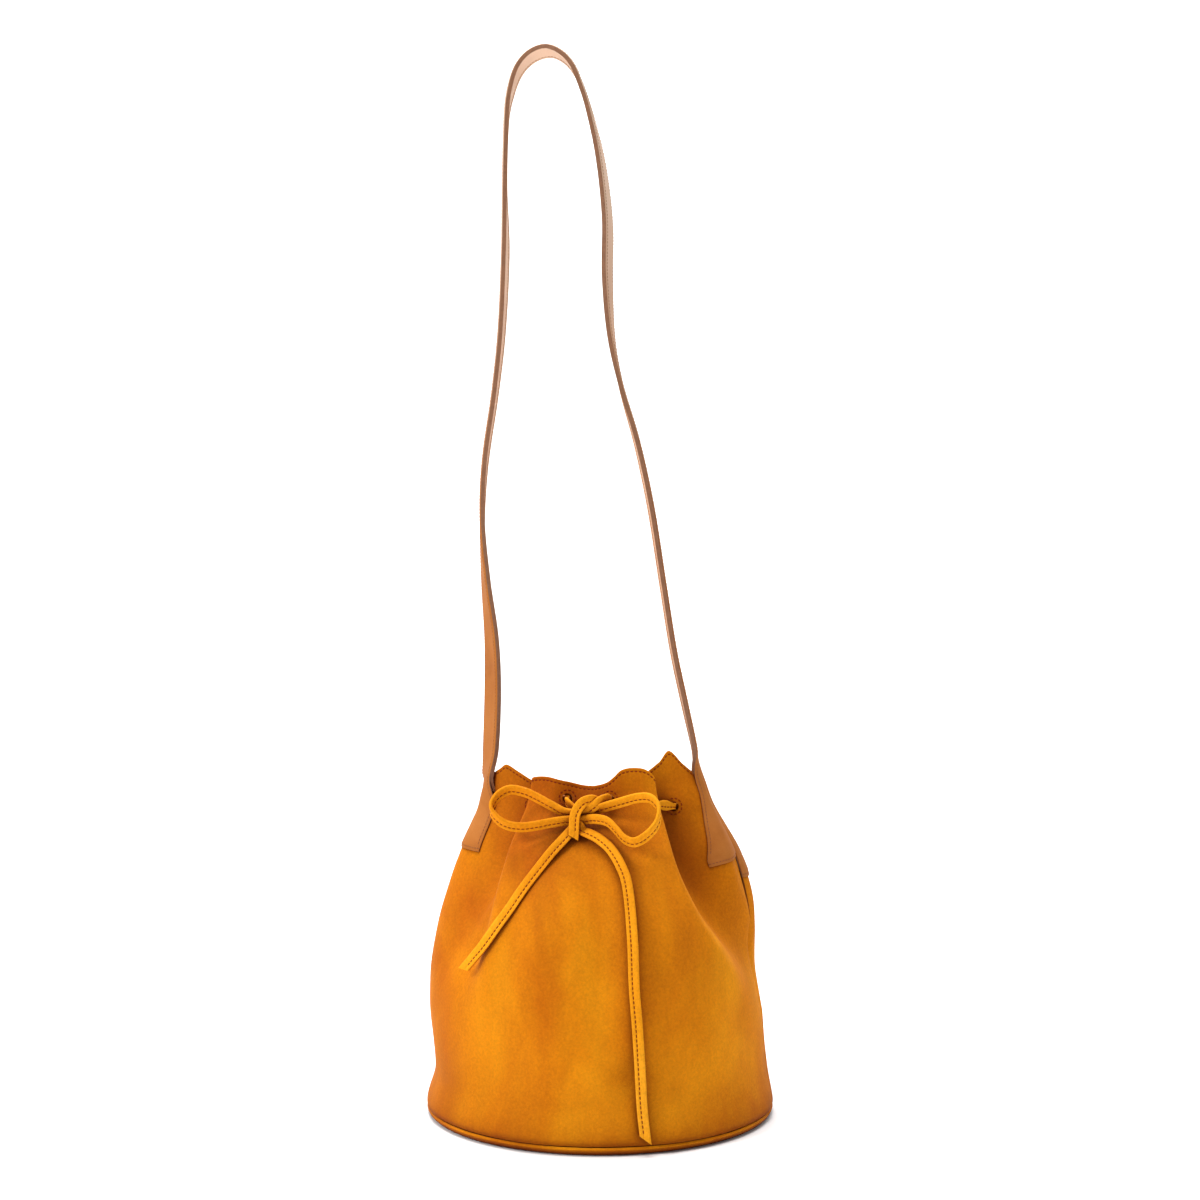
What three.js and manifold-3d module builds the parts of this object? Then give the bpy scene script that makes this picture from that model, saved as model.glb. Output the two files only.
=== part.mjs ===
// A gathered leather bucket bag: two side panels on a round base, a drawn-in neck with
// a folded leather drawstring tied in a bow, and a long shoulder strap sewn on by two tabs.
// Millimetres, +Z up, front towards -Y, origin at the middle of the base's underside.
import * as THREE from 'three';
import { mergeVertices } from 'three/addons/utils/BufferGeometryUtils.js';
import Module from 'manifold-3d';

const wasm = await Module();
wasm.setup();

// ---------- driving dimensions ----------
const GAP = 0.3; // between neighbouring pieces
const LEATHER = 1.6; // body panels and base
const FACING = 1.4; // strip inside the mouth
const TAB = 1.7; // sewn ends of the strap
const BASE_RADIUS = 136;
const BASE_CORNER = 6.6; // rounding of the base's edge, up to the base seam
const BOARD_RADIUS = 124;
const BOARD = 2.4;
const SEAM_HALF_GAP = 0.25; // half of the joint between the front and back panel
const SLIT = { bottom: 153, top: 204, halfGap: 1.3 }; // open stretch of each side seam
const FACING_FROM = 0.85; // of the panel's height, up to the mouth
const EYELET_RADIUS = 4.5;
const STRAP_WIDTH = 28;
const STRAP_LAYER = 1.55;
const TAB_NECK = 245; // height below which the sewn ends widen
const OUTER_TAB = { top: 269, frontBottom: 200, backBottom: 184, neckHalf: 14, bottomHalf: 34 };
const INNER_TAB = { top: 250, frontBottom: 204, backBottom: 192, neckHalf: 12, bottomHalf: 26 };
const CORD_RADIUS = 2; // drawstring squeezed through the eyelets
const STRIP_WIDTH = 8; // drawstring where it lies free
const STRIP = 2.6;

// How finely the curved pieces are faceted.
const PANEL_ROWS = [0, 0.1, 0.24, 0.38, 0.5, 0.61, 0.7, 0.78, 0.85, 0.9, 0.95, 1];
const PANEL_COLUMNS = 36;
const ROUND_STEPS = 60; // round the base
const HOLE_SIDES = 12;
const STRAP_STEPS = 64;
const WOVEN_STEPS = 80;
const CORD_SIDES = 8;

// Half-widths of the body before it is folded, at each height.
const HEIGHTS = [0, 9, 35, 90, 130, 165, 205, 245, 285];
const LEFT = [134, 136, 130.5, 134.5, 132, 124, 110, 93, 88];
const RIGHT = [134, 136, 132, 126.5, 122.5, 117, 106, 86, 75];
const FRONT = [134, 136, 131.5, 128, 121, 109, 86, 58, 52];

// Inward folds. The angle runs from the front (-Y) towards +X, in degrees. Each list
// gives the fold at FOLD_HEIGHTS; low and high are its reach below and above its angle.
const FOLD_HEIGHTS = [80, 105, 130, 165, 205, 245, 285];
const FOLDS = [
  { angle: [86, 83, 77, 66, 62, 66, 66], depth: [0, 3, 10, 25, 41, 43, 38], low: 17, high: 22 },
  { angle: [-50, -50, -52, -55, -58, -62, -62], depth: [0, 1, 7, 17, 32, 42, 37], low: 27, high: 19 },
  { angle: [112, 114, 118, 121, 122, 122, 122], depth: [0, 2, 7, 18, 34, 42, 38], low: 27, high: 20 },
  { angle: [-112, -114, -116, -118, -118, -118, -118], depth: [0, 2, 7, 18, 34, 42, 38], low: 20, high: 27 },
  { angle: [-2, -2, -2, -2, -2, -3, -5], depth: [0, 0, 0, 1, 3, 7, 11], low: 24, high: 22 },
  { angle: [180, 180, 180, 180, 180, 180, 180], depth: [0, 1, 2, 4, 7, 11, 14], low: 24, high: 24 },
];

// The cut edge of the mouth: [angle, height], all the way round.
const RIM = [
  [-180, 243], [-160, 245], [-148, 249], [-135, 249], [-118, 242], [-103, 254], [-90, 259],
  [-85, 263], [-82, 267], [-80, 270.5], [-77, 266], [-72, 258], [-62, 250], [-54, 255],
  [-46, 263], [-34, 265], [-20, 262], [-8, 259], [4, 258.5], [14, 261], [20, 265], [27, 271],
  [38, 272.5], [46, 270], [55, 259], [63, 252], [70, 262], [76, 274], [79, 283], [82, 273],
  [85, 266], [90, 261], [103, 256], [118, 244], [135, 249], [148, 250], [160, 246], [180, 243],
];

// Stitched holes that the drawstring runs through: [angle, height], from the front middle
// to the back middle on each side.
const RIGHT_EYELETS = [[17, 249], [55, 243], [77, 240], [104, 236], [131, 234], [163, 232]];
const LEFT_EYELETS = [[-17, 249], [-50, 243], [-70, 240], [-104, 236], [-129, 234], [-163, 232]];

// The bow. Both loops lie in planes that face up and forwards, and both tails lie on the
// front panel. Each route starts and ends at the knot.
const KNOT = { centre: [-6, -66, 237], radii: [5.6, 5.5, 8.5] };
const LOOP_PLANE = [0, -0.65, 0.76];
const LEFT_LOOP = [
  [-13, -70, 234], [-23, -73, 232.8], [-34, -76, 230.7], [-46, -79, 229.3], [-57, -81, 231],
  [-65, -81, 236], [-69.5, -79, 243], [-66, -74, 251.5], [-57, -71, 256.5], [-45, -69.5, 254.5],
  [-35, -69, 250], [-24.5, -68.5, 244.5], [-14, -68, 239.5],
];
const RIGHT_LOOP = [
  [1, -70, 235], [10, -73, 236], [19, -76, 234.5], [26, -79, 229], [33, -82, 222.5],
  [41, -84, 220.5], [50, -83, 225.5], [57, -79, 234.5], [57.5, -75, 245.5], [51, -72, 252],
  [41, -70.5, 252], [28, -69.5, 248.3], [14, -68.5, 244], [3, -67.5, 240.5],
];
const LEFT_TAIL = [
  [-9, -72, 227], [-15, -77, 220], [-22, -82, 212], [-31, -88, 200], [-41, -95, 186],
  [-50, -100, 172], [-60, -102.5, 158], [-70, -102, 144], [-80, -98.5, 132], [-87, -95, 124],
];
const RIGHT_TAIL = [
  [-1, -72, 227], [5, -74.5, 225], [12, -77, 222], [20, -81, 217], [26, -85, 211], [31, -89, 204],
  [36, -93.5, 194], [40, -101, 177], [44, -112, 149], [46, -118, 120], [49, -122, 91],
  [51, -123, 62], [53, -125, 33], [56, -128.5, 12],
];
const LEFT_LEAD = [[-10.5, -61.5, 243.5], [-14, -60.5, 245.5]];
const RIGHT_LEAD = [[1.5, -63, 244.5], [7, -62.5, 248.5], [13, -61, 251]];

// Centre line of the strap in the X-Z plane: [x, z, turn in degrees], up the left leg,
// over the top and down the right leg. The turn swings the outer face towards the front.
const STRAP_PATH = [
  [-89, 284, 33], [-87.5, 330, 34], [-88.5, 370, 30], [-93, 415, 21], [-95.8, 465, 13],
  [-93.5, 510, 10], [-85.5, 565, 9], [-80, 615, 7.5], [-77, 680, 6.5], [-77.5, 735, 12],
  [-76, 785, 12], [-73, 804, 9], [-66.5, 822, 6], [-56, 833, 3], [-42, 837, 0],
  [-29.5, 831.5, -2], [-20.5, 821, -4], [-14.5, 807, -4], [-8, 787, -4],
  [1, 748, -1], [6.5, 700, 1], [6.5, 655, 1], [9.5, 608, -4], [17.5, 568, -8], [30, 524, -11],
  [41, 473, -12], [50.5, 413, -12], [59, 360, -12], [68, 318, -12], [75.5, 284, -10],
];

// ---------- helpers ----------
const radians = (degrees) => (degrees * Math.PI) / 180;
const mix = (a, b, t) => a + (b - a) * t;

// Smooth curve through (xs, ys): a cubic in each span, with slopes from the neighbours.
function smooth(xs, ys, x) {
  const last = xs.length - 1;
  const at = Math.min(Math.max(x, xs[0]), xs[last]);
  let i = 0;
  while (i < last - 1 && at > xs[i + 1]) i += 1;
  const slope = (k) => {
    const a = Math.max(k - 1, 0);
    const b = Math.min(k + 1, last);
    return (ys[b] - ys[a]) / (xs[b] - xs[a]);
  };
  const span = xs[i + 1] - xs[i];
  const t = (at - xs[i]) / span;
  const t2 = t * t;
  const t3 = t2 * t;
  return (
    (2 * t3 - 3 * t2 + 1) * ys[i] +
    (t3 - 2 * t2 + t) * span * slope(i) +
    (3 * t2 - 2 * t3) * ys[i + 1] +
    (t3 - t2) * span * slope(i + 1)
  );
}

function wrap(degrees) {
  return ((((degrees + 180) % 360) + 360) % 360) - 180;
}

// ---------- the body's outer surface ----------
function foldDepth(angle, height) {
  let total = 0;
  for (const fold of FOLDS) {
    const offset = wrap(angle - smooth(FOLD_HEIGHTS, fold.angle, height));
    const t = offset / (offset < 0 ? fold.low : fold.high);
    if (Math.abs(t) < 1) {
      total += smooth(FOLD_HEIGHTS, fold.depth, height) * (1 - t * t) ** 2;
    }
  }
  return total;
}

function radiusAt(angle, height) {
  const across = Math.sin(radians(angle));
  const along = Math.cos(radians(angle));
  const side = smooth(HEIGHTS, across < 0 ? LEFT : RIGHT, height);
  const front = smooth(HEIGHTS, FRONT, height);
  return 1 / Math.hypot(across / side, along / front) - foldDepth(angle, height);
}

function surface(angle, height) {
  const radius = radiusAt(angle, height);
  const a = radians(angle);
  return new THREE.Vector3(radius * Math.sin(a), -radius * Math.cos(a), height);
}

function outward(angle, height) {
  const turn = 0.4;
  const rise = 0.5;
  const across = surface(angle + turn, height).sub(surface(angle - turn, height));
  const up = surface(angle, height + rise).sub(surface(angle, height - rise));
  return across.cross(up).normalize();
}

function offsetPoint(angle, height, offset) {
  return surface(angle, height).addScaledVector(outward(angle, height), offset);
}

function rimHeight(angle) {
  return smooth(RIM.map((p) => p[0]), RIM.map((p) => p[1]), wrap(angle));
}

// Angle reached by walking a distance along the section at one height.
function angleAfter(start, height, distance) {
  const step = 0.25 * Math.sign(distance || 1);
  let angle = start;
  let walked = 0;
  let here = surface(angle, height);
  while (walked < Math.abs(distance)) {
    angle += step;
    const next = surface(angle, height);
    walked += next.distanceTo(here);
    here = next;
  }
  return angle;
}

// Column angles between two angles, evenly spaced along the neck's section.
function columnsBetween(from, to, count) {
  const neck = 232;
  const fine = 720;
  const lengths = [0];
  for (let i = 1; i <= fine; i += 1) {
    const a = surface(mix(from, to, (i - 1) / fine), neck);
    lengths.push(lengths[i - 1] + a.distanceTo(surface(mix(from, to, i / fine), neck)));
  }
  const columns = [];
  let k = 0;
  for (let i = 0; i <= count; i += 1) {
    const wanted = (lengths[fine] * i) / count;
    while (k < fine && lengths[k] < wanted) k += 1;
    columns.push(mix(from, to, k / fine));
  }
  return columns;
}

// ---------- solids ----------
// Closed solid between two grids of points, point(i, j, side) with side 0 outside, 1 inside.
function gridSolid(across, up, point) {
  const positions = [];
  const index = [];
  const id = (i, j, side) => (side * (across + 1) + i) * (up + 1) + j;
  for (let side = 0; side < 2; side += 1) {
    for (let i = 0; i <= across; i += 1) {
      for (let j = 0; j <= up; j += 1) positions.push(...point(i, j, side).toArray());
    }
  }
  const quad = (a, b, c, d) => index.push(a, b, c, a, c, d);
  for (let i = 0; i < across; i += 1) {
    for (let j = 0; j < up; j += 1) {
      quad(id(i, j, 0), id(i + 1, j, 0), id(i + 1, j + 1, 0), id(i, j + 1, 0));
      quad(id(i, j, 1), id(i, j + 1, 1), id(i + 1, j + 1, 1), id(i + 1, j, 1));
    }
    quad(id(i, 0, 0), id(i, 0, 1), id(i + 1, 0, 1), id(i + 1, 0, 0));
    quad(id(i, up, 0), id(i + 1, up, 0), id(i + 1, up, 1), id(i, up, 1));
  }
  for (let j = 0; j < up; j += 1) {
    quad(id(0, j, 0), id(0, j + 1, 0), id(0, j + 1, 1), id(0, j, 1));
    quad(id(across, j, 0), id(across, j, 1), id(across, j + 1, 1), id(across, j + 1, 0));
  }
  const geometry = new THREE.BufferGeometry();
  geometry.setAttribute('position', new THREE.Float32BufferAttribute(positions, 3));
  geometry.setIndex(index);
  return geometry;
}

function toManifold(geometry) {
  const plain = geometry.clone();
  for (const name of ['normal', 'uv']) plain.deleteAttribute(name);
  const merged = mergeVertices(plain, 1e-3);
  const mesh = new wasm.Mesh({
    numProp: 3,
    vertProperties: new Float32Array(merged.attributes.position.array),
    triVerts: new Uint32Array(merged.index.array),
  });
  return new wasm.Manifold(mesh);
}

function fromManifold(solid) {
  const mesh = solid.getMesh();
  const geometry = new THREE.BufferGeometry();
  geometry.setAttribute('position', new THREE.BufferAttribute(mesh.vertProperties, 3));
  geometry.setIndex(new THREE.BufferAttribute(mesh.triVerts, 1));
  return geometry;
}

function eyeletCutter([angle, height]) {
  const length = 16;
  const cutter = new THREE.CylinderGeometry(EYELET_RADIUS, EYELET_RADIUS, length, HOLE_SIDES);
  const normal = outward(angle, height);
  const turn = new THREE.Quaternion().setFromUnitVectors(new THREE.Vector3(0, 1, 0), normal);
  cutter.applyQuaternion(turn);
  const middle = offsetPoint(angle, height, -LEATHER);
  cutter.translate(middle.x, middle.y, middle.z);
  return toManifold(cutter);
}

const allEyelets = [...RIGHT_EYELETS, ...LEFT_EYELETS];

function punched(geometry, eyelets) {
  let solid = toManifold(geometry);
  for (const eyelet of eyelets) solid = solid.subtract(eyeletCutter(eyelet));
  return fromManifold(solid);
}

// Half of the joint between the panels, wider along the open slit of the side seam.
function seamAngle(height) {
  const inSlit = height > SLIT.bottom && height < SLIT.top;
  const half = inSlit ? SLIT.halfGap : SEAM_HALF_GAP;
  return (half / radiusAt(90, height)) * (180 / Math.PI);
}

function panel(middle) {
  return mouthLayer(middle, PANEL_ROWS, 0, LEATHER);
}

// One leather layer on the body's surface between the side seams, with its eyelets.
function mouthLayer(middle, rows, outer, thickness) {
  const columns = columnsBetween(middle - 90, middle + 90, PANEL_COLUMNS);
  const bottom = BASE_CORNER + 2 * GAP;
  const geometry = gridSolid(PANEL_COLUMNS, rows.length - 1, (i, j, side) => {
    const height = mix(bottom, rimHeight(columns[i]), rows[j]);
    let angle = columns[i];
    if (i === 0) angle += seamAngle(height);
    if (i === PANEL_COLUMNS) angle -= seamAngle(height);
    return offsetPoint(angle, height, outer - side * thickness);
  });
  const own = allEyelets.filter(([angle]) => Math.abs(wrap(angle - middle)) < 90);
  return punched(geometry, own);
}

// The facing follows the panel's own top rows, a gap inside it.
function facing(middle) {
  const rows = PANEL_ROWS.filter((row) => row >= FACING_FROM);
  return mouthLayer(middle, rows, -(LEATHER + GAP), FACING);
}

// A patch over a side seam, widening below its neck. Its back half reaches lower than its
// front half. near and far are the depths of its two faces.
function tabPatch(side, near, far, shape) {
  const across = 12;
  const up = 6;
  return gridSolid(across, up, (i, j, face) => {
    const s = (2 * i) / across - 1;
    const bottom = side * s <= 0 ? shape.frontBottom : shape.backBottom;
    const height = mix(bottom, shape.top, j / up);
    const down = Math.max((TAB_NECK - height) / (TAB_NECK - shape.frontBottom), 0);
    const halfWidth = mix(shape.neckHalf, shape.bottomHalf, down);
    const angle = angleAfter(side * 90, height, s * halfWidth);
    return offsetPoint(angle, height, face ? near : far);
  });
}

// ---------- base ----------
function basePanel() {
  const flat = BASE_RADIUS - BASE_CORNER;
  const inner = BASE_CORNER - LEATHER;
  const profile = [new THREE.Vector2(0, 0)];
  const steps = 3;
  for (let i = 0; i <= steps; i += 1) {
    const a = radians((90 * i) / steps);
    profile.push(new THREE.Vector2(
      flat + BASE_CORNER * Math.sin(a),
      BASE_CORNER - BASE_CORNER * Math.cos(a),
    ));
  }
  for (let i = steps; i >= 0; i -= 1) {
    const a = radians((90 * i) / steps);
    profile.push(new THREE.Vector2(flat + inner * Math.sin(a), BASE_CORNER - inner * Math.cos(a)));
  }
  profile.push(new THREE.Vector2(0, LEATHER));
  return standing(new THREE.LatheGeometry(profile, ROUND_STEPS));
}

// Lathe and cylinder geometries stand along Y: this turns them to stand along Z.
function standing(geometry) {
  return geometry.rotateX(Math.PI / 2);
}

function baseBoard() {
  const disc = new THREE.CylinderGeometry(BOARD_RADIUS, BOARD_RADIUS, BOARD, ROUND_STEPS);
  return standing(disc).translate(0, 0, LEATHER + GAP + BOARD / 2);
}

// ---------- ribbons: strap and drawstring ----------
// Closed flat band along stations {point, across, normal, halfWidth}, between two depths.
// Its upper and lower faces are split along the same diagonals, so stacked bands nest.
function ribbon(stations, low, high) {
  const corners = [[-1, low], [1, low], [1, high], [-1, high]];
  const positions = [];
  const index = [];
  for (const s of stations) {
    for (const [side, depth] of corners) {
      const p = s.point.clone().addScaledVector(s.across, side * s.halfWidth);
      positions.push(...p.addScaledVector(s.normal, depth).toArray());
    }
  }
  const count = stations.length;
  for (let i = 0; i < count - 1; i += 1) {
    for (let k = 0; k < 4; k += 1) {
      const a = 4 * i + k;
      const b = 4 * i + ((k + 1) % 4);
      if (k === 2) index.push(a, b, a + 4, b, b + 4, a + 4);
      else index.push(a, b, b + 4, a, b + 4, a + 4);
    }
  }
  const end = 4 * (count - 1);
  index.push(0, 2, 1, 0, 3, 2, end, end + 1, end + 2, end, end + 2, end + 3);
  const geometry = new THREE.BufferGeometry();
  geometry.setAttribute('position', new THREE.Float32BufferAttribute(positions, 3));
  geometry.setIndex(index);
  return geometry;
}

// Stations along the strap, with a half-round end below each hinge point.
function strapStations() {
  const curve = new THREE.CatmullRomCurve3(
    STRAP_PATH.map(([x, z]) => new THREE.Vector3(x, 0, z)), false, 'centripetal',
  );
  const steps = STRAP_STEPS;
  const spans = STRAP_PATH.length - 1;
  const stations = [];
  for (let i = 0; i <= steps; i += 1) {
    const t = i / steps;
    const point = curve.getPoint(t);
    const tangent = curve.getTangent(t);
    const at = t * spans;
    const k = Math.min(Math.floor(at), spans - 1);
    const turn = radians(mix(STRAP_PATH[k][2], STRAP_PATH[k + 1][2], at - k));
    const across = new THREE.Vector3(0, 1, 0).applyAxisAngle(tangent, turn);
    stations.push(station(point, tangent, across, STRAP_WIDTH / 2));
  }
  const round = [0.35, 0.65, 0.86, 0.97];
  const rounded = (base, sign) => round.map((share) => {
    const half = STRAP_WIDTH / 2;
    const point = base.point.clone().addScaledVector(base.tangent, sign * share * half);
    return { ...base, point, halfWidth: half * Math.sqrt(1 - share * share) };
  });
  const first = rounded(stations[0], -1).reverse();
  const final = rounded(stations[steps], 1);
  return [...first, ...stations, ...final];
}

function station(point, tangent, across, halfWidth) {
  const flat = across.clone().addScaledVector(tangent, -across.dot(tangent)).normalize();
  const normal = new THREE.Vector3().crossVectors(tangent, flat).normalize();
  return { point, tangent, across: flat, normal, halfWidth };
}

// ---------- drawstring ----------
// Where the string passes a hole: inside, in the hole and outside.
function throughHole([angle, height]) {
  const inside = 7;
  const outside = 4;
  const middle = -(LEATHER + GAP + FACING) / 2;
  return [-inside, middle, outside].map((offset) => offsetPoint(angle, height, offset));
}

// The stretch woven through the eyelets, from the left front one round the back to the
// right front one. It runs outside across the folds and the back, and inside elsewhere.
function wovenPath() {
  const threaded = (eyelets) => eyelets.flatMap((eyelet, i) => {
    const points = throughHole(eyelet);
    return i % 2 ? points : points.reverse();
  });
  const vectors = (route) => route.map((p) => new THREE.Vector3(...p));
  const points = [
    ...vectors(LEFT_LEAD),
    ...threaded(LEFT_EYELETS),
    ...threaded(RIGHT_EYELETS).reverse(),
    ...vectors(RIGHT_LEAD).reverse(),
  ];
  return new THREE.CatmullRomCurve3(points, false, 'centripetal');
}

function roundCord(curve, steps) {
  const section = new THREE.Shape();
  for (let i = 0; i < CORD_SIDES; i += 1) {
    const a = (2 * Math.PI * i) / CORD_SIDES;
    const move = i ? 'lineTo' : 'moveTo';
    section[move](CORD_RADIUS * Math.cos(a), CORD_RADIUS * Math.sin(a));
  }
  section.closePath();
  return new THREE.ExtrudeGeometry(section, { steps, bevelEnabled: false, extrudePath: curve });
}

// A flat stretch of the drawstring. Its across direction is fixed on a loop, and follows
// the body's surface on a tail.
function strip(route, fixedAcross) {
  const curve = new THREE.CatmullRomCurve3(
    route.map((p) => new THREE.Vector3(...p)), false, 'centripetal',
  );
  const steps = 2 * (route.length - 1);
  const stations = [];
  for (let i = 0; i <= steps; i += 1) {
    const point = curve.getPoint(i / steps);
    const tangent = curve.getTangent(i / steps);
    const angle = (Math.atan2(point.x, -point.y) * 180) / Math.PI;
    const across = fixedAcross
      ? new THREE.Vector3(...fixedAcross)
      : outward(angle, point.z).cross(tangent);
    stations.push(station(point, tangent, across, STRIP_WIDTH / 2));
  }
  return ribbon(stations, -STRIP / 2, STRIP / 2);
}

function knot() {
  const ball = new THREE.SphereGeometry(1, HOLE_SIDES, CORD_SIDES);
  return ball.scale(...KNOT.radii).translate(...KNOT.centre);
}

// ---------- assembly ----------
const bag = new THREE.Group();

function add(name, geometry, color, roughness) {
  const material = new THREE.MeshStandardMaterial({ color, roughness, metalness: 0 });
  const mesh = new THREE.Mesh(geometry, material);
  mesh.name = name;
  bag.add(mesh);
}

const NUBUCK = 0xe08a16;
const TAN = 0xc07d48;
const BOARD_COLOUR = 0x6b5038;
const NAPPED = 0.9; // roughness
const SATIN = 0.5;

add('front_panel', panel(0), NUBUCK, NAPPED);
add('back_panel', panel(180), NUBUCK, NAPPED);
add('rim_facing_front', facing(0), NUBUCK, NAPPED);
add('rim_facing_back', facing(180), NUBUCK, NAPPED);
add('base_panel', basePanel(), NUBUCK, NAPPED);
add('base_board', baseBoard(), BOARD_COLOUR, NAPPED);

const tabDepth = 2 * GAP; // above the panel
const backingDepth = -(LEATHER + FACING + 6 * GAP); // inside the facing
for (const [name, side] of [['left', -1], ['right', 1]]) {
  const outside = tabPatch(side, tabDepth, tabDepth + TAB, OUTER_TAB);
  const inside = tabPatch(side, backingDepth - TAB, backingDepth, INNER_TAB);
  add(`strap_tab_${name}`, outside, TAN, SATIN);
  add(`strap_backing_${name}`, inside, TAN, SATIN);
}
const strap = strapStations();
add('strap_outer', ribbon(strap, GAP / 2, GAP / 2 + STRAP_LAYER), TAN, SATIN);
add('strap_lining', ribbon(strap, -GAP / 2 - STRAP_LAYER, -GAP / 2), TAN, SATIN);
add('drawstring_woven', roundCord(wovenPath(), WOVEN_STEPS), NUBUCK, NAPPED);
add('bow_knot', knot(), NUBUCK, NAPPED);
add('bow_loop_left', strip(LEFT_LOOP, LOOP_PLANE), NUBUCK, NAPPED);
add('bow_loop_right', strip(RIGHT_LOOP, LOOP_PLANE), NUBUCK, NAPPED);
add('drawstring_tail_left', strip(LEFT_TAIL), NUBUCK, NAPPED);
add('drawstring_tail_right', strip(RIGHT_TAIL), NUBUCK, NAPPED);

export default bag;
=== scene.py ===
"""Visual model of a gathered leather bucket bag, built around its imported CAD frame.

Body shapes are worked out in millimetres with the CAD model's own surface formula, and
turned into metres when a mesh is made.
"""
import math

import bmesh
import bpy
import numpy as np
from mathutils import Matrix, Vector


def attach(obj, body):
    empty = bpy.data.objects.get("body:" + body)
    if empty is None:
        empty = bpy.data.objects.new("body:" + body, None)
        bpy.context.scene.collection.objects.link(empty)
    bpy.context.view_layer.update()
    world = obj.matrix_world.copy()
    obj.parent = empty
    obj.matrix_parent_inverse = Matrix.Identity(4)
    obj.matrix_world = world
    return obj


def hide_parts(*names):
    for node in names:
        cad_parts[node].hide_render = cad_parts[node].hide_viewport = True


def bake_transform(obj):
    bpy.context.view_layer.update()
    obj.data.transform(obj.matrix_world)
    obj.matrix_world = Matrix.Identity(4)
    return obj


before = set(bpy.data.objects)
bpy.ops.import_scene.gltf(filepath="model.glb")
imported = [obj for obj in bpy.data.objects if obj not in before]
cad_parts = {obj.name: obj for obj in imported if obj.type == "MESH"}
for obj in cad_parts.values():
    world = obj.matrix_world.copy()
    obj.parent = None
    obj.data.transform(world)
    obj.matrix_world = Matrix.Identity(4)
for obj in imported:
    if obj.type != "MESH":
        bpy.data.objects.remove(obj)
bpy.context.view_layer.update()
MM = 0.001

# ---------------------------------------------------------------- camera
AZIMUTH = math.radians(10)
DISTANCE = 1.5
EYE_HEIGHT = 0.4004
FRAME_WIDTH = 0.948  # what the picture spans at the object's middle


def make_camera():
    data = bpy.data.cameras.new("camera")
    data.sensor_width = 36
    data.lens = 36 * DISTANCE / FRAME_WIDTH
    data.clip_end = 50
    camera = bpy.data.objects.new("camera", data)
    bpy.context.collection.objects.link(camera)
    away = Vector((math.sin(AZIMUTH), -math.cos(AZIMUTH), 0))
    camera.location = away * DISTANCE + Vector((0, 0, EYE_HEIGHT))
    camera.rotation_euler = (math.pi / 2, 0, AZIMUTH)
    bpy.context.scene.camera = camera


make_camera()

# ---------------------------------------------------------------- sizes, as in the CAD model
LEATHER = 1.6
FACING = 1.4
BASE_RADIUS = 136
BASE_CORNER = 6.6
SEAM_HALF_GAP = 0.05
SLIT_BOTTOM = 153
SLIT_TOP = 204
SLIT_HALF_GAP = 1.9
EYELET_RADIUS = 3.9
STRAP_HALF = 14
STRAP_LAYER = 1.65
HINGE_HEIGHT = 284
STRIP_HALF = 4.0
STRIP = 2.6
SHARP = math.radians(48)  # edges that turn more than this stay crisp

# The body's radius at these heights, towards its left, its right and its front.
HEIGHTS = [0, 9, 35, 90, 130, 165, 205, 245, 285]
LEFT = [134, 136, 130.5, 134.5, 132, 124, 110, 93, 88]
RIGHT = [134, 136, 132, 126.5, 122.5, 117, 106, 86, 75]
FRONT = [134, 136, 131.5, 128, 121, 109, 86, 58, 52]

# Folds gathered into the neck, each followed through these heights.
FOLD_HEIGHTS = [80, 105, 130, 165, 205, 245, 285]
FOLDS = [
    # angle of the fold, its depth, its reach below and above its angle
    ([86, 83, 77, 66, 62, 66, 66], [0, 3, 10, 25, 41, 43, 38], 17, 22),
    ([-50, -50, -52, -55, -58, -62, -62], [0, 1, 7, 17, 32, 42, 37], 27, 19),
    ([112, 114, 118, 121, 122, 122, 122], [0, 2, 7, 18, 34, 42, 38], 27, 20),
    ([-112, -114, -116, -118, -118, -118, -118], [0, 2, 7, 18, 34, 42, 38], 20, 27),
    ([-2, -2, -2, -2, -2, -3, -5], [0, 0, 0, 1, 3, 7, 11], 24, 22),
    ([180, 180, 180, 180, 180, 180, 180], [0, 1, 2, 4, 7, 11, 14], 24, 24),
]
# Angle and height of the mouth's rim, then of the eyelets below it.
RIM = [
    (-180, 243), (-160, 245), (-148, 249), (-135, 249), (-118, 242), (-103, 254), (-90, 259),
    (-85, 263), (-82, 267), (-80, 270.5), (-77, 266), (-72, 258), (-62, 250), (-54, 255),
    (-46, 263), (-34, 265), (-20, 262), (-8, 259), (4, 258.5), (14, 261), (20, 265), (27, 271),
    (38, 272.5), (46, 270), (55, 259), (63, 252), (70, 262), (76, 274), (79, 283), (82, 273),
    (85, 266), (90, 261), (103, 256), (118, 244), (135, 249), (148, 250), (160, 246), (180, 243),
]
RIGHT_EYELETS = [(17, 249), (55, 243), (77, 240), (104, 236), (131, 234), (163, 232)]
LEFT_EYELETS = [(-17, 249), (-50, 243), (-70, 240), (-104, 236), (-129, 234), (-163, 232)]
ALL_EYELETS = RIGHT_EYELETS + LEFT_EYELETS

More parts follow.
